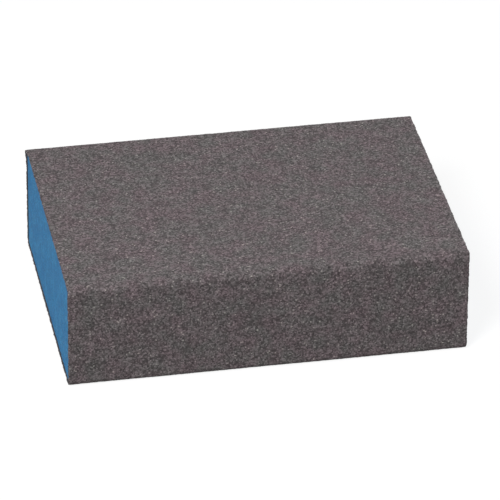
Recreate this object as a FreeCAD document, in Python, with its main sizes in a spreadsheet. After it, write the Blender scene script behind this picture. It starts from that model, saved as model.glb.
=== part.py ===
import FreeCAD, Part
import math
import os
import Sketcher
from FreeCAD import Rotation, Vector

# Foam hand sanding block, in millimetres.
# X runs along the block, from one cut end to the other. The front face looks along -Y and the top face
# along +Z. The origin is the middle of the bottom face.
#
# The core is a foam bar with rounded long edges. Each of its four long faces carries a bond coat, and a
# layer of grit over that. Neighbouring faces' coats meet at a mitre, half-way round each long edge. The
# block is cut to length after coating, so every layer ends flush with the bare foam at both ends.

SHEET = "sizes"
SIZES = {
    "block_length": 97.0,
    "block_width": 70.0,
    "block_height": 27.0,
    "core_edge_radius": 1.1,
    "bond_thickness": 0.15,
    "grit_thickness": 0.30,
}

# The coat on each face, and the sizes that add up to each surface's radius round a long edge.
COAT = ("bond_thickness", "grit_thickness")
CORE_EDGE = ("core_edge_radius",)
BOND_EDGE = ("core_edge_radius", "bond_thickness")
GRIT_EDGE = ("core_edge_radius", "bond_thickness", "grit_thickness")

# Each layer of the coat: its name, and its inner and outer surfaces.
LAYERS = (
    ("bond_coat", CORE_EDGE, BOND_EDGE),
    ("grit", BOND_EDGE, GRIT_EDGE),
)

# Each long face: its name, the turn about X that brings +Z to its outward normal, and the block's sizes
# across the face and through the block behind it.
FACES = (
    ("top", 0, "block_width", "block_height"),
    ("bottom", 180, "block_width", "block_height"),
    ("front", 90, "block_height", "block_width"),
    ("back", -90, "block_height", "block_width"),
)

MITRE_ANGLE = math.radians(45)
UPRIGHT = math.pi / 2

# Sketcher's numbers for a line's or an arc's points, and for a sketch's own origin and vertical axis.
START, END, CENTRE = 1, 2, 3
ORIGIN_POINT = (-1, 1)
VERTICAL_AXIS = -2


def total(names):
    return sum(SIZES[name] for name in names)


def total_formula(names):
    return " + ".join(f"{SHEET}.{name}" for name in names)


def fill_sheet(doc):
    sheet = doc.addObject("Spreadsheet::Sheet", SHEET)
    for row, (alias, value) in enumerate(SIZES.items(), start=1):
        sheet.set(f"A{row}", alias)
        sheet.set(f"B{row}", str(value))
        sheet.setAlias(f"B{row}", alias)
    doc.recompute()


def new_body(doc, label):
    body = doc.addObject("PartDesign::Body", label)
    body.Label = label
    return body


def section_sketch(body):
    """A sketch across the block, with its X along the body's +Y and its Y along the body's +Z."""
    plane = next(feature for feature in body.Origin.OriginFeatures if feature.Role == "YZ_Plane")
    sketch = body.newObject("Sketcher::SketchObject", f"{body.Name}_section")
    sketch.AttachmentSupport = [(plane, "")]
    sketch.MapMode = "FlatFace"
    return sketch


def add_line(sketch, start, end):
    return sketch.addGeometry(Part.LineSegment(start, end), False)


def constrain(sketch, *args):
    return sketch.addConstraint(Sketcher.Constraint(*args))


def bind(sketch, name, formula, *args):
    """Add a sized constraint, and tie it to the sheet."""
    index = constrain(sketch, *args)
    sketch.renameConstraint(index, name)
    sketch.setExpression(f"Constraints.{name}", formula)


def pad_along_block(body, sketch):
    pad = body.newObject("PartDesign::Pad", f"{body.Name}_length")
    pad.Profile = sketch
    pad.SideType = "Symmetric"
    pad.setExpression("Length", f"{SHEET}.block_length")
    return pad


def place(body, turn):
    """Move a body drawn about the block's middle to its place, turned about X."""
    body.Placement = FreeCAD.Placement(Vector(0, 0, 0), Rotation(Vector(1, 0, 0), turn))
    body.setExpression("Placement.Base.z", f"{SHEET}.block_height / 2")


def build_core(doc):
    """The foam bar: a rectangle inside the coats, padded along the block, its long edges rounded."""
    body = new_body(doc, "foam_core")
    sketch = section_sketch(body)
    core_width = SIZES["block_width"] - 2 * total(COAT)
    core_height = SIZES["block_height"] - 2 * total(COAT)
    corners = [
        Vector(-core_width / 2, -core_height / 2, 0),
        Vector(core_width / 2, -core_height / 2, 0),
        Vector(core_width / 2, core_height / 2, 0),
        Vector(-core_width / 2, core_height / 2, 0),
    ]
    following_corners = corners[1:] + corners[:1]
    sides = [add_line(sketch, start, end) for start, end in zip(corners, following_corners)]
    for side, following_side in zip(sides, sides[1:] + sides[:1]):
        constrain(sketch, "Coincident", side, END, following_side, START)
    bottom, right, top, left = sides
    for side in (bottom, top):
        constrain(sketch, "Horizontal", side)
    for side in (right, left):
        constrain(sketch, "Vertical", side)
    constrain(sketch, "Symmetric", bottom, START, top, START, *ORIGIN_POINT)
    bind(
        sketch, "core_width", f"{SHEET}.block_width - 2 * ({total_formula(COAT)})",
        "DistanceX", bottom, START, bottom, END, core_width,
    )
    bind(
        sketch, "core_height", f"{SHEET}.block_height - 2 * ({total_formula(COAT)})",
        "DistanceY", right, START, right, END, core_height,
    )
    pad = pad_along_block(body, sketch)
    doc.recompute()

    long_edges = [
        f"Edge{number}"
        for number, edge in enumerate(pad.Shape.Edges, start=1)
        if abs(edge.tangentAt(edge.FirstParameter).x) > 0.999
    ]
    rounding = body.newObject("PartDesign::Fillet", "foam_core_rounding")
    rounding.Base = (pad, long_edges)
    rounding.setExpression("Radius", total_formula(CORE_EDGE))
    place(body, 0)
    return body


def draw_strip(sketch, centres, inner_radius, outer_radius):
    """Draw one layer as it lies on the top face: a flat strip between two surfaces, which turns down
    over the rounded edge on each side as far as the mitre. Returns each surface's two edge arcs."""
    arcs = {}
    for radius in (inner_radius, outer_radius):
        rise = Vector(0, radius, 0)
        left_circle = Part.Circle(centres["left"], Vector(0, 0, 1), radius)
        right_circle = Part.Circle(centres["right"], Vector(0, 0, 1), radius)
        left_arc = sketch.addGeometry(
            Part.ArcOfCircle(left_circle, UPRIGHT, UPRIGHT + MITRE_ANGLE), False
        )
        right_arc = sketch.addGeometry(
            Part.ArcOfCircle(right_circle, UPRIGHT - MITRE_ANGLE, UPRIGHT), False
        )
        flat = add_line(sketch, centres["left"] + rise, centres["right"] + rise)
        constrain(sketch, "Horizontal", flat)
        constrain(sketch, "Tangent", flat, START, left_arc, START)
        constrain(sketch, "Tangent", flat, END, right_arc, END)
        arcs[radius] = {"left": left_arc, "right": right_arc}

    inner_arcs = arcs[inner_radius]
    outer_arcs = arcs[outer_radius]
    for side, arc_end, angle in (
        ("left", END, UPRIGHT + MITRE_ANGLE),
        ("right", START, UPRIGHT - MITRE_ANGLE),
    ):
        outward = Vector(math.cos(angle), math.sin(angle), 0)
        mitre = add_line(
            sketch, centres[side] + outward * inner_radius, centres[side] + outward * outer_radius
        )
        constrain(sketch, "Coincident", inner_arcs[side], CENTRE, outer_arcs[side], CENTRE)
        constrain(sketch, "Coincident", mitre, START, inner_arcs[side], arc_end)
        constrain(sketch, "Coincident", mitre, END, outer_arcs[side], arc_end)
        constrain(sketch, "PointOnObject", inner_arcs[side], CENTRE, mitre)
        constrain(sketch, "Angle", mitre, angle)
    return inner_arcs, outer_arcs


def build_layer(doc, label, turn, across, through, inner_edge, outer_edge):
    """One layer of one face's coat, drawn as on the top face and then turned to its own face."""
    body = new_body(doc, label)
    sketch = section_sketch(body)
    centre_offset = SIZES[across] / 2 - total(GRIT_EDGE)
    centre_height = SIZES[through] / 2 - total(GRIT_EDGE)
    centres = {
        "left": Vector(-centre_offset, centre_height, 0),
        "right": Vector(centre_offset, centre_height, 0),
    }
    inner_arcs, outer_arcs = draw_strip(sketch, centres, total(inner_edge), total(outer_edge))

    left, right = inner_arcs["left"], inner_arcs["right"]
    constrain(sketch, "Symmetric", left, CENTRE, right, CENTRE, VERTICAL_AXIS)
    bind(
        sketch, "between_centres", f"{SHEET}.{across} - 2 * ({total_formula(GRIT_EDGE)})",
        "DistanceX", left, CENTRE, right, CENTRE, 2 * centre_offset,
    )
    bind(
        sketch, "centre_height", f"{SHEET}.{through} / 2 - ({total_formula(GRIT_EDGE)})",
        "DistanceY", *ORIGIN_POINT, right, CENTRE, centre_height,
    )
    bind(
        sketch, "inner_radius", total_formula(inner_edge),
        "Radius", inner_arcs["right"], total(inner_edge),
    )
    bind(
        sketch, "outer_radius", total_formula(outer_edge),
        "Radius", outer_arcs["right"], total(outer_edge),
    )
    pad_along_block(body, sketch)
    place(body, turn)
    return body


def check(doc, bodies):
    """Stop if any feature failed, or if a piece isn't one sound solid."""
    for item in doc.Objects:
        if "Invalid" in item.State or "Error" in item.State:
            raise RuntimeError(f"{item.Label} failed: {item.State}")
    for body in bodies:
        shape = body.Shape
        if shape.isNull() or not shape.isValid() or len(shape.Solids) != 1:
            raise RuntimeError(f"{body.Label} isn't one valid solid")


def main():
    doc = FreeCAD.newDocument("sanding_block")
    fill_sheet(doc)
    bodies = [build_core(doc)]
    for face, turn, across, through in FACES:
        for layer, inner_edge, outer_edge in LAYERS:
            label = f"{face}_{layer}"
            bodies.append(build_layer(doc, label, turn, across, through, inner_edge, outer_edge))
    doc.recompute()
    check(doc, bodies)

    os.makedirs("parts", exist_ok=True)
    for body in bodies:
        body.Shape.exportStep(f"parts/{body.Label}.step")


main()
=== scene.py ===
import math

import bpy
import numpy as np
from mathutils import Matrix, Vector


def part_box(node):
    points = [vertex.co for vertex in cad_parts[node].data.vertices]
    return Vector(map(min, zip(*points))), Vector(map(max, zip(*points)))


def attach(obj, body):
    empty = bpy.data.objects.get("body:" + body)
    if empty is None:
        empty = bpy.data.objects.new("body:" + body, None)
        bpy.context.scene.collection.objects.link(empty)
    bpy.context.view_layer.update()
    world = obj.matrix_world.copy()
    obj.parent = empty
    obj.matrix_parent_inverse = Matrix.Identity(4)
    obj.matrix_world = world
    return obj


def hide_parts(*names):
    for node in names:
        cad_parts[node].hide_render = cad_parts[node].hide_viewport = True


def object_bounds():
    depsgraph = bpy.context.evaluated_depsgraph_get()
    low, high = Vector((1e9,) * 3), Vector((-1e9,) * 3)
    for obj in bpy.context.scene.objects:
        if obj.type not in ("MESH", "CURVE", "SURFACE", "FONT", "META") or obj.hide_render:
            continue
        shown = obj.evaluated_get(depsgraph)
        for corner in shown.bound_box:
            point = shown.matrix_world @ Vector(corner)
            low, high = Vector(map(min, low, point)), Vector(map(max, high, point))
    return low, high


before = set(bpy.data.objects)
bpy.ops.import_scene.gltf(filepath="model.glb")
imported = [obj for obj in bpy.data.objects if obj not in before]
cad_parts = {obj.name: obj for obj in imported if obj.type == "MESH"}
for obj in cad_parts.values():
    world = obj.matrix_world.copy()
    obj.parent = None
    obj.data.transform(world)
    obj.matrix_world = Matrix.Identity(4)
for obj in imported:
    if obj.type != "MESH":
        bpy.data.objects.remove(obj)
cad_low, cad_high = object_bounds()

MM = 0.001

# ---------------------------------------------------------------- the block's sizes, read off the frame

core_low, core_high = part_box("foam_core")
_, bond_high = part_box("top_bond_coat")
_, grit_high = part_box("top_grit")

HALF_LENGTH = cad_high.x
HALF_WIDTH = cad_high.y
BLOCK_HEIGHT = cad_high.z
MID_HEIGHT = BLOCK_HEIGHT / 2
CORE_HALF_WIDTH = core_high.y
CORE_HALF_HEIGHT = (core_high.z - core_low.z) / 2
COAT = cad_high.z - core_high.z
BOND = bond_high.z - core_high.z

# Each coat ends at a mitre half-way round the block's long edges, and the top grit's half width there
# gives the core's edge radius.
MITRE_ANGLE = math.pi / 4
MITRE_SINE = math.sin(MITRE_ANGLE)
CORE_EDGE_RADIUS = (CORE_HALF_WIDTH + COAT * MITRE_SINE - grit_high.y) / (1 - MITRE_SINE)
OUTER_EDGE_ARC = (CORE_EDGE_RADIUS + COAT) * MITRE_ANGLE

# Each long face: its name, the turn about X from +Z to its outward normal, the core's half span across
# it, and the core's half depth behind it.
FACES = (
    ("top", 0, CORE_HALF_WIDTH, CORE_HALF_HEIGHT),
    ("bottom", 180, CORE_HALF_WIDTH, CORE_HALF_HEIGHT),
    ("front", 90, CORE_HALF_HEIGHT, CORE_HALF_WIDTH),
    ("back", -90, CORE_HALF_HEIGHT, CORE_HALF_WIDTH),
)


# ---------------------------------------------------------------- repeatable noise in space

# Large odd numbers that scramble a cell's place and a salt into a number that looks random.
PLACE_FACTORS = np.array([73856093, 19349663, 83492791], np.uint32)
SALT_FACTOR = 2654435761
SCRAMBLERS = (0x7FEB352D, 0x846CA68B)

# In cells, further than any cell's own point can be from a point beside it.
OUT_OF_REACH = 9.0


def cell_random(cells, salt):
    """One repeatable number from 0 to 1 for each cell of a whole-number lattice. Each salt gives other
    numbers."""
    keys = cells.astype(np.int64).astype(np.uint32)
    salt_key = np.uint32(salt * SALT_FACTOR % 2**32)
    mixed = np.bitwise_xor.reduce(keys * PLACE_FACTORS, axis=-1) ^ salt_key
    for factor in SCRAMBLERS:
        mixed ^= mixed >> np.uint32(16)
        mixed = mixed * np.uint32(factor)
    mixed ^= mixed >> np.uint32(15)
    return mixed / 2.0**32


def smooth_noise(points, size, salt):
    """Soft noise from -1 to 1, whose lumps are about size across."""
    scaled = points / size
    base = np.floor(scaled)
    share = scaled - base
    share = share * share * (3 - 2 * share)
    total = np.zeros(len(points))
    for corner in np.ndindex(2, 2, 2):
        weight = np.prod(np.where(corner, share, 1 - share), axis=-1)
        total += weight * cell_random(base + corner, salt)
    return 2 * total - 1


def layered_noise(points, layers, salt_shift=0):
    """A sum of soft noises. Each layer is the size of its lumps, how far they go either way, and its
    salt."""
    return sum(reach * smooth_noise(points, size, salt + salt_shift) for size, reach, salt in layers)


def grain_cells(points, size, salt):
    """The grain that each point lies in, with distances in grain sizes: how far inside the grain's border
    the point is, a random number for that grain, and how far the point is from the grain's middle."""
    scaled = points / size
    base = np.floor(scaled)
    nearest = np.full(len(points), OUT_OF_REACH)
    second = np.full(len(points), OUT_OF_REACH)
    grain = np.zeros(len(points))
    for corner in np.ndindex(3, 3, 3):
        cell = base + np.array(corner) - 1
        middle = cell + np.stack([cell_random(cell, salt + axis) for axis in range(3)], axis=-1)
        distance = np.linalg.norm(scaled - middle, axis=-1)
        closer = distance < nearest
        second = np.where(closer, nearest, np.minimum(second, distance))
        grain = np.where(closer, cell_random(cell, salt + 3), grain)
        nearest = np.where(closer, distance, nearest)
    return second - nearest, grain, nearest


# ---------------------------------------------------------------- meshes

def mesh_object(name, points, charts):
    """A closed mesh of triangles. Each chart is some of its triangles, a place on the unit square for
    every vertex, which lays them out flat, and whether they are shaded smooth."""
    triangles = np.concatenate([corners for corners, _, _ in charts])
    layout = np.concatenate([places[corners.ravel()] for corners, places, _ in charts])
    smooth = np.concatenate([np.full(len(corners), is_smooth) for corners, _, is_smooth in charts])
    mesh = bpy.data.meshes.new(name)
    mesh.vertices.add(len(points))
    mesh.vertices.foreach_set("co", points.astype(np.float32).ravel())
    mesh.loops.add(3 * len(triangles))
    mesh.loops.foreach_set("vertex_index", triangles.astype(np.int32).ravel())
    mesh.polygons.add(len(triangles))
    mesh.polygons.foreach_set("loop_start", np.arange(0, 3 * len(triangles), 3, dtype=np.int32))
    mesh.polygons.foreach_set("use_smooth", smooth)
    mesh.uv_layers.new(name="OFBake").data.foreach_set("uv", layout.astype(np.float32).ravel())
    mesh.update(calc_edges=True)
    piece = bpy.data.objects.new(name, mesh)
    bpy.context.scene.collection.objects.link(piece)
    return piece


def chart(triangles, count, index, u, v, is_smooth):
    """A mesh's triangles with their shading, and u and v for the vertices in index, out of count
    vertices in all."""
    places = np.zeros((count, 2))
    places[index.ravel(), 0] = np.broadcast_to(u, index.shape).ravel()
    places[index.ravel(), 1] = np.broadcast_to(v, index.shape).ravel()
    return triangles, places, is_smooth


def facing(triangles, is_outward):
    """The triangles, turned over if they don't face outward yet."""
    return triangles if is_outward else triangles[:, ::-1]


def grid_triangles(index, rng):
    """Two triangles for each square of a grid of vertex numbers, split along a random diagonal."""
    a, b = index[:-1, :-1].ravel(), index[1:, :-1].ravel()
    c, d = index[1:, 1:].ravel(), index[:-1, 1:].ravel()
    flip = rng.random(len(a)) < 0.5
    first = np.where(flip[:, None], np.stack([a, b, c], 1), np.stack([a, b, d], 1))
    other = np.where(flip[:, None], np.stack([a, c, d], 1), np.stack([b, c, d], 1))
    return np.concatenate([first, other])


def zip_rows(row, row_places, other, other_places):
    """Triangles between two rows of vertices that run the same way with different spacing."""
    triangles = []
    i = j = 0
    while i < len(row) - 1 or j < len(other) - 1:
        row_is_next = j == len(other) - 1 or (
            i < len(row) - 1 and row_places[i + 1] <= other_places[j + 1]
        )
        if row_is_next:
            triangles.append((row[i], row[i + 1], other[j]))
            i += 1
        else:
            triangles.append((row[i], other[j + 1], other[j]))
            j += 1
    return np.array(triangles)


# ---------------------------------------------------------------- the knife's cuts

# The real block isn't quite square: both cuts lean the same way, and it is thicker at the back.
CUT_LEAN = 0.13 * MM
BACK_THICKENING = 0.09 * MM

# The knife leaves waves on an end, drawn out upward.
KNIFE_CHATTER = 0.04 * MM
CHATTER_SIZE = 1.7 * MM
CHATTER_STRETCH = (1, 1, 0.1)
CHATTER_SALT = 40

# A coat's cut edge, torn between its grains: the size, reach and salt of each kind of tear.
COAT_TEARS = ((0.9 * MM, 0.078 * MM, 50), (0.3 * MM, 0.091 * MM, 60))

# The coats stand out in a small flap at the left end's back top corner.
CORNER_FLAP = 0.35 * MM
CORNER_FLAP_REACH = 5 * MM

# The foam springs back behind the coats as it is cut, by a little more in some places than in others.
FOAM_SET_BACK = 0.30 * MM
SET_BACK_UNEVENNESS = 0.25
SET_BACK_SIZE = 14 * MM
SET_BACK_SALT = 70


def as_cut(points):
    """The block's points as a knife leaves them, a little out of square."""
    x, y, z = points.T
    x = x + CUT_LEAN * (z / MID_HEIGHT - 1)
    z = z + BACK_THICKENING * (y / HALF_WIDTH) * (z / BLOCK_HEIGHT)
    return np.stack([x, y, z], axis=-1)


def knife_chatter(points, side):
    """The shallow waves that the knife left on an end."""
    return KNIFE_CHATTER * smooth_noise(points * CHATTER_STRETCH, CHATTER_SIZE, CHATTER_SALT + side)


def torn_coat(points, side):
    """How far along X to move each point of a coat's cut edge."""
    from_corner = np.hypot(points[:, 1] - HALF_WIDTH, points[:, 2] - BLOCK_HEIGHT)
    flap = CORNER_FLAP * np.clip(1 - from_corner / CORNER_FLAP_REACH, 0, 1) * (side < 0)
    return side * (knife_chatter(points, side) + layered_noise(points, COAT_TEARS, side) + flap)


def foam_end(points, side):
    """How far along X to move each point of the foam's cut end."""
    unevenness = SET_BACK_UNEVENNESS * smooth_noise(points, SET_BACK_SIZE, SET_BACK_SALT + side)
    return side * (
        knife_chatter(points, side) - FOAM_SET_BACK * (1 + unevenness) - foam_relief(points)
    )


# ---------------------------------------------------------------- relief

# A grain's side falls over a share of the grain's size. The lowest grain has a share of full height.
GRAIN = 0.38 * MM
GRAIN_DEPTH = 0.06 * MM
GRAIN_SIDE = 0.30
LOWEST_GRAIN = 0.35
GRAIN_SALT = 11

# Soft lumps in the coat: the size, reach and salt of each kind.
COAT_LUMPS = ((1.1 * MM, 0.027 * MM, 12), (5 * MM, 0.018 * MM, 13))
HIGHEST_LUMP = sum(reach for _, reach, _ in COAT_LUMPS)

# Chips sit in cells, of which only some hold one. A chip's radius is a share of its cell. Chips are
# full within CHIP_REACH less CHIP_FADE of a long edge, and gone at CHIP_REACH.
CHIP_CELL = 2.2 * MM
CHIP_CHANCE = 0.14
CHIP_RADIUS = 0.32
CHIP_DEPTH = 0.20 * MM
CHIP_REACH = 1.6 * MM
CHIP_FADE = 1.0 * MM
CHIP_SALT = 14

# The foam's open cells, and the few large pores. Their radii are shares of their cells' sizes, and the
# shallowest cell has a share of the full depth.
FOAM_CELL = 0.42 * MM
FOAM_CELL_RADIUS = 0.55
FOAM_CELL_DEPTH = 0.10 * MM
SHALLOWEST_FOAM_CELL = 0.3
FOAM_CELL_SALT = 21
PORE_CELL = 1.3 * MM
PORE_CHANCE = 0.3
PORE_RADIUS = 0.30
PORE_DEPTH = 0.16 * MM
PORE_SALT = 25


def grit_relief(points):
    """How far the grit lies below its highest grains: grains, soft lumps in the coat, and a few chips
    that have broken out along the block's long edges."""
    inside, grain, _ = grain_cells(points, GRAIN, GRAIN_SALT)
    lift = (LOWEST_GRAIN + (1 - LOWEST_GRAIN) * grain) * np.clip(inside / GRAIN_SIDE, 0, 1)
    depth = GRAIN_DEPTH * (1 - lift) + HIGHEST_LUMP + layered_noise(points, COAT_LUMPS)

    _, chance, from_middle = grain_cells(points, CHIP_CELL, CHIP_SALT)
    chip = np.sqrt(np.clip(1 - from_middle / CHIP_RADIUS, 0, 1)) * (chance > 1 - CHIP_CHANCE)
    from_side = HALF_WIDTH - np.abs(points[:, 1])
    from_broad_face = MID_HEIGHT - np.abs(points[:, 2] - MID_HEIGHT)
    from_edge = np.hypot(from_side, from_broad_face)
    return depth + CHIP_DEPTH * chip * np.clip((CHIP_REACH - from_edge) / CHIP_FADE, 0, 1)


def no_relief(points):
    return np.zeros(len(points))


def foam_relief(points):
    """How far the cut foam lies below its surface: open cells, with a few large ones."""
    _, cell, from_middle = grain_cells(points, FOAM_CELL, FOAM_CELL_SALT)
    hollow = np.clip(1 - from_middle / FOAM_CELL_RADIUS, 0, 1)
    depth = hollow * (SHALLOWEST_FOAM_CELL + (1 - SHALLOWEST_FOAM_CELL) * cell)
    _, chance, from_pore = grain_cells(points, PORE_CELL, PORE_SALT)
    pore = np.clip(1 - from_pore / PORE_RADIUS, 0, 1) * (chance > 1 - PORE_CHANCE)
    return FOAM_CELL_DEPTH * depth + PORE_DEPTH * pore


# ---------------------------------------------------------------- coats

# Bands of a strip's layout: most of it for the outside, then one each for its two cut ends, for its two
# mitres, and for its inside.
OUTSIDE_TOP = 0.93
END_BANDS = {-1: (0.935, 0.95), 1: (0.955, 0.965)}
MITRE_BANDS = {-1: (0.970, 0.975), 1: (0.980, 0.985)}
INSIDE_BAND = (0.990, 0.998)

# The outer surface rounds down towards the ends, by a share of the layer's thickness, and the layer
# keeps a least share of its thickness everywhere.
END_ROUNDING = 0.35 * MM
END_ROUNDING_SHARE = 0.3
LEAST_THICKNESS_SHARE = 0.2

# How far a vertex is shaken off its grid, as a share of the spacing.
COAT_SHAKE = 0.33

# Vertices this near an end plane, in metres, are on it.
END_TOLERANCE = 1e-9


def strip_section(places, heights, half_span, half_depth):
    """Points across a coat as it lies on the top face. A place runs along the outer surface from the
    mitre on the left to the mitre on the right, and a height is measured out from the core."""
    edge_centre = half_span - CORE_EDGE_RADIUS
    beyond = np.clip(np.abs(places) - edge_centre, 0, None)
    angle = beyond / OUTER_EDGE_ARC * MITRE_ANGLE
    radius = CORE_EDGE_RADIUS + heights
    across = np.sign(places) * (np.minimum(np.abs(places), edge_centre) + radius * np.sin(angle))
    out = half_depth - CORE_EDGE_RADIUS + radius * np.cos(angle)
    return across, out


def on_face(along, across, out, turn):
    """Points of a coat drawn on the top face, turned to its own face and lifted to its place."""
    angle = math.radians(turn)
    y = across * math.cos(angle) - out * math.sin(angle)
    z = across * math.sin(angle) + out * math.cos(angle) + MID_HEIGHT
    return np.stack([along, y, z], axis=-1)


def build_strip(name, turn, half_span, half_depth, low, high, spacing, relief, rng):
    """One closed layer of a coat between two heights above the core, with relief on its outside."""
    thickness = high - low
    half_arc_span = half_span - CORE_EDGE_RADIUS + OUTER_EDGE_ARC
    column_count = int(2 * HALF_LENGTH / spacing[0]) + 1
    outer_count = int(2 * half_arc_span / spacing[1]) + 1
    outer_places = np.linspace(-half_arc_span, half_arc_span, outer_count)
    along = np.linspace(-HALF_LENGTH, HALF_LENGTH, column_count)

    def points_at(x, places, heights):
        across, out = strip_section(places, heights, half_span, half_depth)
        return on_face(x, across, out, turn)

    # the outer surface, with its vertices shaken off their grid except along its border
    x, places = np.meshgrid(along, outer_places, indexing="ij")
    shake = rng.uniform(-COAT_SHAKE, COAT_SHAKE, (2, column_count - 2, outer_count - 2))
    x[1:-1, 1:-1] += shake[0] * spacing[0]
    places[1:-1, 1:-1] += shake[1] * spacing[1]
    plain = points_at(x, places, np.full(places.shape, high))
    rounding = np.clip(1 - (HALF_LENGTH - np.abs(x)) / END_ROUNDING, 0, 1) ** 2
    heights = high - relief(plain.reshape(-1, 3)).reshape(places.shape)
    heights -= END_ROUNDING_SHARE * thickness * rounding
    heights = np.maximum(heights, low + LEAST_THICKNESS_SHARE * thickness)
    points = [points_at(x, places, heights).reshape(-1, 3)]
    outer_index = np.arange(x.size).reshape(x.shape)

    # the inner surface, which lies on the layer below and runs straight from end to end
    inner_x, inner_places = np.meshgrid(along[[0, -1]], outer_places, indexing="ij")
    inner_heights = np.full(inner_places.shape, low)
    points.append(points_at(inner_x, inner_places, inner_heights).reshape(-1, 3))
    inner_index = x.size + np.arange(inner_x.size).reshape(inner_x.shape)

    count = x.size + inner_x.size
    u = (x / HALF_LENGTH + 1) / 2
    v = (places / half_arc_span + 1) / 2
    outer = grid_triangles(outer_index, rng)
    charts = [chart(outer, count, outer_index, u, v * OUTSIDE_TOP, True)]
    inner = grid_triangles(inner_index[:, ::-1], rng)
    inner_u = np.array([[0], [1]])
    inner_v = np.linspace(*INSIDE_BAND, outer_count)
    charts.append(chart(inner, count, inner_index, inner_u, inner_v, False))

    # the cut ends and the mitres, which join the two surfaces all round
    for side, column in ((-1, 0), (1, -1)):
        end_index = np.stack([outer_index[column], inner_index[column]])
        end = facing(grid_triangles(end_index, rng), side > 0)
        end_v = np.array(END_BANDS[side])[:, None]
        charts.append(chart(end, count, end_index, v[0], end_v, False))

        outer_edge, inner_edge = outer_index[:, column], inner_index[:, column]
        mitre = facing(zip_rows(outer_edge, along, inner_edge, along[[0, -1]]), side > 0)
        mitre_index = np.concatenate([outer_edge, inner_edge])
        mitre_u = np.append(u[:, 0], (0, 1))
        low_v, high_v = MITRE_BANDS[side]
        mitre_v = np.append(np.full(column_count, low_v), (high_v, high_v))
        charts.append(chart(mitre, count, mitre_index, mitre_u, mitre_v, False))

    points = np.concatenate(points)
    for side in (-1, 1):
        at_end = np.abs(points[:, 0] - side * HALF_LENGTH) < END_TOLERANCE
        points[at_end, 0] += torn_coat(points[at_end], side)
    return mesh_object(name, as_cut(points), charts)


# ---------------------------------------------------------------- the foam core

FOAM_SPACING = 0.21 * MM
FOAM_SHAKE = 0.3
ROWS_ROUND_EDGE = 8

# Bands of the core's layout: one for each end, and one for its plain sides.
CORE_END_BANDS = {-1: (0.0, 0.47), 1: (0.48, 0.95)}
CORE_SIDES_BAND = (0.96, 0.99)


def core_end_grid():
    """A grid over the core's end: y and z from its middle, in rows from the bottom to the top that are
    close together round the long edges."""
    radius = CORE_EDGE_RADIUS
    flat_half_height = CORE_HALF_HEIGHT - radius
    edge_angles = np.linspace(0, math.pi / 2, ROWS_ROUND_EDGE)
    edge_rows = flat_half_height + radius * np.sin(edge_angles)
    flat_count = int(2 * flat_half_height / FOAM_SPACING) + 1
    flat_rows = np.linspace(-flat_half_height, flat_half_height, flat_count)
    rows = np.concatenate([-edge_rows[:0:-1], flat_rows, edge_rows[1:]])
    past_flat = np.clip(np.abs(rows) - flat_half_height, 0, radius)
    half_widths = CORE_HALF_WIDTH - radius + np.sqrt(np.maximum(radius**2 - past_flat**2, 0))
    column_count = int(2 * CORE_HALF_WIDTH / FOAM_SPACING) + 1
    z, share = np.meshgrid(rows, np.linspace(-1, 1, column_count), indexing="ij")
    return share * half_widths[:, None], z


def build_core(name, rng):
    """The foam bar, fine on its two cut ends and plain under its coats."""
    y, z = core_end_grid()
    row_count, column_count = z.shape
    index = np.arange(z.size).reshape(z.shape)
    count = 2 * z.size
    u = (y / CORE_HALF_WIDTH + 1) / 2
    v = (z / CORE_HALF_HEIGHT + 1) / 2
    points = []
    charts = []
    for side in (-1, 1):
        shake = np.zeros((2,) + z.shape)
        inner_shape = (2, row_count - 2, column_count - 2)
        shake[:, 1:-1, 1:-1] = rng.uniform(-FOAM_SHAKE, FOAM_SHAKE, inner_shape) * FOAM_SPACING
        x = np.full(z.shape, side * HALF_LENGTH)
        end_points = np.stack([x, y + shake[0], z + shake[1] + MID_HEIGHT], -1).reshape(-1, 3)
        end_points[:, 0] += foam_end(end_points, side)
        points.append(end_points)
        end_index = index + (0 if side < 0 else z.size)
        end = facing(grid_triangles(end_index, rng), side < 0)
        low_v, high_v = CORE_END_BANDS[side]
        charts.append(chart(end, count, end_index, u, low_v + (high_v - low_v) * v, True))

    border = np.concatenate([index[0, :-1], index[:-1, -1], index[-1, :0:-1], index[:0:-1, 0]])
    loop = np.append(border, border[0])
    sides_index = np.stack([loop + z.size, loop], 1)
    sides = facing(grid_triangles(sides_index, rng), False)
    sides_u = np.linspace(0, 1, len(loop))[:, None]
    charts.append(chart(sides, count, sides_index, sides_u, np.array(CORE_SIDES_BAND), False))
    return mesh_object(name, as_cut(np.concatenate(points)), charts)


# ---------------------------------------------------------------- materials

def srgb(*values):
    """A colour given as 0 to 255, as the linear numbers that Blender holds."""
    shares = [v / 255 for v in values]
    return tuple(v / 12.92 if v <= 0.04045 else ((v + 0.055) / 1.055) ** 2.4 for v in shares) + (1,)


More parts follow.
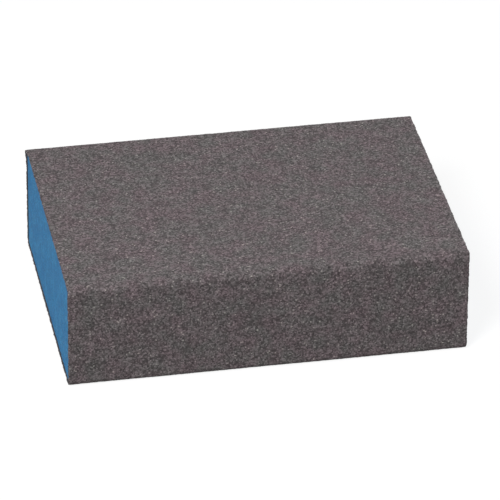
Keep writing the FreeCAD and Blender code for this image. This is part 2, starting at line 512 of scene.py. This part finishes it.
class Paint:
    """A new material, with short ways to add the nodes that the materials here share."""

    def __init__(self, name):
        self.material = bpy.data.materials.new(name)
        self.material.use_nodes = True
        self.nodes = self.material.node_tree.nodes
        self.links = self.material.node_tree.links
        self.shader = self.nodes["Principled BSDF"]
        self.place = self.nodes.new("ShaderNodeTexCoord").outputs["Object"]

    def feed(self, socket, given):
        """Give a socket another node's output, or a plain value."""
        if isinstance(given, bpy.types.NodeSocket):
            self.links.new(given, socket)
        else:
            socket.default_value = given

    def set_shader(self, name, given):
        self.feed(self.shader.inputs[name], given)

    def stretched_place(self, scale):
        mapping = self.nodes.new("ShaderNodeMapping")
        mapping.inputs["Scale"].default_value = scale
        self.links.new(self.place, mapping.inputs["Vector"])
        return mapping.outputs["Vector"]

    def noise(self, size, detail=2.0, place=None):
        """Soft noise from about 0 to 1, whose lumps are about size across."""
        noise = self.nodes.new("ShaderNodeTexNoise")
        noise.inputs["Scale"].default_value = 1 / size
        noise.inputs["Detail"].default_value = detail
        self.links.new(self.place if place is None else place, noise.inputs["Vector"])
        return noise.outputs["Fac"]

    def cells(self, size):
        """Cells about size across: two random numbers for each, and the distance from its middle."""
        cells = self.nodes.new("ShaderNodeTexVoronoi")
        cells.inputs["Scale"].default_value = 1 / size
        self.links.new(self.place, cells.inputs["Vector"])
        parts = self.nodes.new("ShaderNodeSeparateColor")
        self.links.new(cells.outputs["Color"], parts.inputs["Color"])
        return parts.outputs["Red"], parts.outputs["Green"], cells.outputs["Distance"]

    def rescale(self, value, from_range, to_range):
        """The value moved from one range to another, and kept within it."""
        scale = self.nodes.new("ShaderNodeMapRange")
        scale.inputs["From Min"].default_value, scale.inputs["From Max"].default_value = from_range
        scale.inputs["To Min"].default_value, scale.inputs["To Max"].default_value = to_range
        self.links.new(value, scale.inputs["Value"])
        return scale.outputs["Result"]

    def add(self, a, b):
        total = self.nodes.new("ShaderNodeMath")
        self.links.new(a, total.inputs[0])
        self.links.new(b, total.inputs[1])
        return total.outputs["Value"]

    def ramp(self, value, stops):
        """A colour for each value, blended between stops, each a position and its colour."""
        ramp = self.nodes.new("ShaderNodeValToRGB")
        elements = ramp.color_ramp.elements
        while len(elements) < len(stops):
            elements.new(0.5)
        for element, (position, colour) in zip(elements, stops):
            element.position = position
            element.color = colour
        self.links.new(value, ramp.inputs["Fac"])
        return ramp.outputs["Color"]

    def mix(self, factor, a, b, blend="MIX"):
        """Mix two colours."""
        mix = self.nodes.new("ShaderNodeMix")
        mix.data_type = "RGBA"
        mix.blend_type = blend
        for name, given in (("Factor", factor), ("A", a), ("B", b)):
            self.feed(next(s for s in mix.inputs if s.name == name and s.enabled), given)
        return next(s for s in mix.outputs if s.enabled)

    def bump(self, height, strength, depth):
        """Tilt the shading as if the surface rose with the height, by up to about the depth."""
        bump = self.nodes.new("ShaderNodeBump")
        bump.inputs["Strength"].default_value = strength
        bump.inputs["Distance"].default_value = depth
        self.links.new(height, bump.inputs["Height"])
        self.links.new(bump.outputs["Normal"], self.shader.inputs["Normal"])


GRIT_TONE_SIZE = 0.36 * MM
GRIT_TINT_SIZE = 5 * MM
GRIT_BLOTCH_SIZE = 2.6 * MM
GRIT_FINE_SIZE = 0.12 * MM
GRIT_TONES = (
    (0.0, srgb(64, 60, 61)),
    (0.5, srgb(99, 93, 94)),
    (0.97, srgb(132, 124, 126)),
    (1.0, srgb(166, 160, 156)),
)
GRIT_RESIN = srgb(70, 64, 63)
REDDER = (1.07, 0.97, 1.01, 1)
GREENER = (0.96, 1.02, 0.99, 1)
MATT_SPECULAR = 0.25


def grit_material():
    """Grey mineral grains of many tones, sunk in a browner resin, with a few that glint."""
    paint = Paint("abrasive_grit")
    tone, other, from_middle = paint.cells(GRIT_TONE_SIZE)
    grains = paint.ramp(tone, GRIT_TONES)
    colour = paint.mix(paint.rescale(from_middle, (0.45, 0.85), (0.0, 0.5)), grains, GRIT_RESIN)

    # some parts of the coat are a little redder, and some a little darker
    greener_share = paint.rescale(paint.noise(GRIT_TINT_SIZE), (0.35, 0.65), (0.0, 1.0))
    tint = paint.mix(greener_share, REDDER, GREENER)
    colour = paint.mix(1.0, colour, tint, "MULTIPLY")
    blotch = paint.rescale(paint.noise(GRIT_BLOTCH_SIZE), (0.3, 0.7), (0.94, 1.06))
    paint.set_shader("Base Color", paint.mix(1.0, colour, blotch, "MULTIPLY"))

    # a few grains are smooth enough to glint
    paint.set_shader("Specular IOR Level", MATT_SPECULAR)
    paint.set_shader("Roughness", paint.rescale(other, (0.90, 1.0), (0.85, 0.35)))

    # each grain is a rough dome, and some stand higher than others
    height = paint.rescale(from_middle, (0.0, 0.8), (1.0, 0.0))
    height = paint.add(height, paint.rescale(paint.noise(GRIT_FINE_SIZE), (0.0, 1.0), (0.0, 0.7)))
    height = paint.add(height, paint.rescale(other, (0.0, 1.0), (0.0, 0.6)))
    paint.bump(height, strength=0.2, depth=0.06 * MM)
    return paint.material


FOAM_STREAK_SIZE = 1.1 * MM
FOAM_STREAK_STRETCH = (1, 1, 0.12)
FOAM_STREAK_DETAIL = 3.0
FOAM_PATCH_SIZE = 3.5 * MM
FOAM_DARKER = srgb(40, 108, 157)
FOAM_PALER = srgb(82, 164, 218)
# painted shade: the dark blue put in the middles of the foam's open cells, as if shade fell in their
# hollows
FOAM_CELL_SHADE = srgb(18, 62, 110)
FOAM_STREAK = srgb(74, 156, 206)
FOAM_PATCH = srgb(50, 116, 174)


def foam_material():
    """Blue closed-cell foam, cut with a knife: fine cells with painted shade darkening their middles,
    with faint streaks along the cut and broad patches."""
    paint = Paint("blue_foam")
    tone, _, from_middle = paint.cells(FOAM_CELL)
    colour = paint.mix(tone, FOAM_DARKER, FOAM_PALER)
    # painted shade: each cell's colour darkens towards its middle, as if shade fell in its hollow
    cell_shade_share = paint.rescale(from_middle, (0.0, 0.45), (0.45, 0.0))
    colour = paint.mix(cell_shade_share, colour, FOAM_CELL_SHADE)
    streak_place = paint.stretched_place(FOAM_STREAK_STRETCH)
    streak = paint.noise(FOAM_STREAK_SIZE, FOAM_STREAK_DETAIL, streak_place)
    colour = paint.mix(paint.rescale(streak, (0.42, 0.68), (0.0, 0.5)), colour, FOAM_STREAK)
    patch = paint.rescale(paint.noise(FOAM_PATCH_SIZE), (0.35, 0.65), (0.0, 0.5))
    paint.set_shader("Base Color", paint.mix(patch, colour, FOAM_PATCH))
    paint.set_shader("Roughness", paint.rescale(tone, (0.0, 1.0), (0.75, 0.95)))
    paint.set_shader("Specular IOR Level", MATT_SPECULAR)
    paint.bump(from_middle, strength=0.5, depth=0.08 * MM)
    return paint.material


BOND_TONE_SIZE = 0.6 * MM
BOND_DUST_SIZE = 0.22 * MM
BOND_SWIRL_SIZE = 0.2 * MM
BOND_DARKER = srgb(46, 42, 42)
BOND_PALER = srgb(70, 65, 64)
BOND_DUST = srgb(112, 106, 104)


def bond_material():
    """Dark flexible resin, a little glossy where it is smooth, with grain dust caught in it."""
    paint = Paint("bond_resin")
    resin = paint.mix(paint.noise(BOND_TONE_SIZE), BOND_DARKER, BOND_PALER)
    tone, _, _ = paint.cells(BOND_DUST_SIZE)
    dust_share = paint.rescale(tone, (0.75, 1.0), (0.0, 0.6))
    paint.set_shader("Base Color", paint.mix(dust_share, resin, BOND_DUST))
    paint.set_shader("Roughness", paint.rescale(tone, (0.0, 1.0), (0.45, 0.7)))
    paint.bump(paint.noise(BOND_SWIRL_SIZE), strength=0.4, depth=0.04 * MM)
    return paint.material


# ---------------------------------------------------------------- the pieces

SEED = 7

# Neighbouring strips share their spacing along the block, so their vertices meet at the mitres.
WIDE_FACE_SPACING = (0.28 * MM, 0.28 * MM)
NARROW_FACE_SPACING = (0.28 * MM, 0.20 * MM)
BOND_SPACING = (6 * MM, 0.3 * MM)

rng = np.random.default_rng(SEED)
foam = foam_material()
bond = bond_material()
grit = grit_material()

core = build_core("foam_block", rng)
core.data.materials.append(foam)
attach(core, "root")
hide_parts("foam_core")

for face, turn, half_span, half_depth in FACES:
    layer = build_strip(
        f"{face}_bond", turn, half_span, half_depth, 0, BOND, BOND_SPACING, no_relief, rng
    )
    layer.data.materials.append(bond)
    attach(layer, "root")
    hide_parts(f"{face}_bond_coat")

    spacing = WIDE_FACE_SPACING if half_span > half_depth else NARROW_FACE_SPACING
    layer = build_strip(
        f"{face}_grains", turn, half_span, half_depth, BOND, COAT, spacing, grit_relief, rng
    )
    layer.data.materials.append(grit)
    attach(layer, "root")
    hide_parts(f"{face}_grit")


# ---------------------------------------------------------------- floor, light and camera

FLOOR_HALF_SIDE = 3.0
FLOOR_REFLECTS = 0.28
FLOOR_GLOW = 0.88
FLOOR_SHADED = 0.16
SKY_STRENGTH = 0.28

# The view that fits the block's outline in the photograph.
CAMERA_TARGET = Vector((1.489, -0.742, 13.0)) * MM
CAMERA_AZIMUTH = math.radians(-10.28)
CAMERA_ELEVATION = math.radians(30.437)
CAMERA_DISTANCE = 1212.5 * MM
LENS = 357.2
SENSOR_WIDTH = 36


def grey(value):
    return (value, value, value, 1)


def seen_directly(nodes, links):
    """1 where the camera sees a surface, straight or in gloss or glass, and 0 where it only gives
    light."""
    path = nodes.new("ShaderNodeLightPath")
    total = path.outputs["Is Camera Ray"]
    for other in ("Is Glossy Ray", "Is Transmission Ray"):
        either = nodes.new("ShaderNodeMath")
        either.operation = "MAXIMUM"
        links.new(total, either.inputs[0])
        links.new(path.outputs[other], either.inputs[1])
        total = either.outputs["Value"]
    return total


def floor_material():
    material = bpy.data.materials.new("floor")
    material.use_nodes = True
    nodes, links = material.node_tree.nodes, material.node_tree.links
    nodes.clear()
    lit = nodes.new("ShaderNodeBsdfDiffuse")
    lit.inputs["Color"].default_value = grey(FLOOR_REFLECTS)
    shaded = nodes.new("ShaderNodeBsdfDiffuse")
    shaded.inputs["Color"].default_value = grey(FLOOR_SHADED)
    glow = nodes.new("ShaderNodeEmission")
    glow.inputs["Strength"].default_value = FLOOR_GLOW
    seen = nodes.new("ShaderNodeAddShader")
    links.new(shaded.outputs["BSDF"], seen.inputs[0])
    links.new(glow.outputs["Emission"], seen.inputs[1])
    choice = nodes.new("ShaderNodeMixShader")
    links.new(seen_directly(nodes, links), choice.inputs["Fac"])
    links.new(lit.outputs["BSDF"], choice.inputs[1])
    links.new(seen.outputs["Shader"], choice.inputs[2])
    output = nodes.new("ShaderNodeOutputMaterial")
    links.new(choice.outputs["Shader"], output.inputs["Surface"])
    return material


def build_floor():
    """A pale floor that looks white where it is lit, and keeps a faint shadow of the object."""
    mesh = bpy.data.meshes.new("floor")
    corners = [
        (FLOOR_HALF_SIDE * x, FLOOR_HALF_SIDE * y, 0)
        for x, y in ((-1, -1), (1, -1), (1, 1), (-1, 1))
    ]
    mesh.from_pydata(corners, [], [(0, 1, 2, 3)])
    floor = bpy.data.objects.new("floor", mesh)
    bpy.context.scene.collection.objects.link(floor)
    floor.data.materials.append(floor_material())


def build_sky():
    """Even soft light from all round, which looks white to the camera."""
    world = bpy.data.worlds.new("studio")
    world.use_nodes = True
    nodes, links = world.node_tree.nodes, world.node_tree.links
    background = nodes["Background"]
    background.inputs["Color"].default_value = (1, 1, 1, 1)
    strength = nodes.new("ShaderNodeMapRange")
    strength.inputs["To Min"].default_value = SKY_STRENGTH
    strength.inputs["To Max"].default_value = 1.0
    links.new(seen_directly(nodes, links), strength.inputs["Value"])
    links.new(strength.outputs["Result"], background.inputs["Strength"])
    bpy.context.scene.world = world


def area_light(name, place, size, power):
    """A round lamp that shines at the middle of the block's foot."""
    data = bpy.data.lights.new(name, "AREA")
    data.shape = "DISK"
    data.size = size
    data.energy = power
    lamp = bpy.data.objects.new(name, data)
    lamp.location = place
    lamp.rotation_euler = (-Vector(place)).to_track_quat("-Z", "Y").to_euler()
    bpy.context.scene.collection.objects.link(lamp)


def build_camera():
    toward_camera = Vector((
        math.sin(CAMERA_AZIMUTH) * math.cos(CAMERA_ELEVATION),
        -math.cos(CAMERA_AZIMUTH) * math.cos(CAMERA_ELEVATION),
        math.sin(CAMERA_ELEVATION),
    ))
    data = bpy.data.cameras.new("camera")
    data.lens = LENS
    data.sensor_width = SENSOR_WIDTH
    camera = bpy.data.objects.new("camera", data)
    camera.location = CAMERA_TARGET + CAMERA_DISTANCE * toward_camera
    camera.rotation_euler = (math.pi / 2 - CAMERA_ELEVATION, 0, CAMERA_AZIMUTH)
    bpy.context.scene.collection.objects.link(camera)
    bpy.context.scene.camera = camera


build_floor()
build_sky()
area_light("key", place=(-0.40, -0.56, 0.78), size=0.35, power=8.4)
area_light("back_fill", place=(0.6, 0.75, 0.14), size=0.25, power=3.4)
build_camera()
bpy.context.scene.view_settings.view_transform = "Standard"
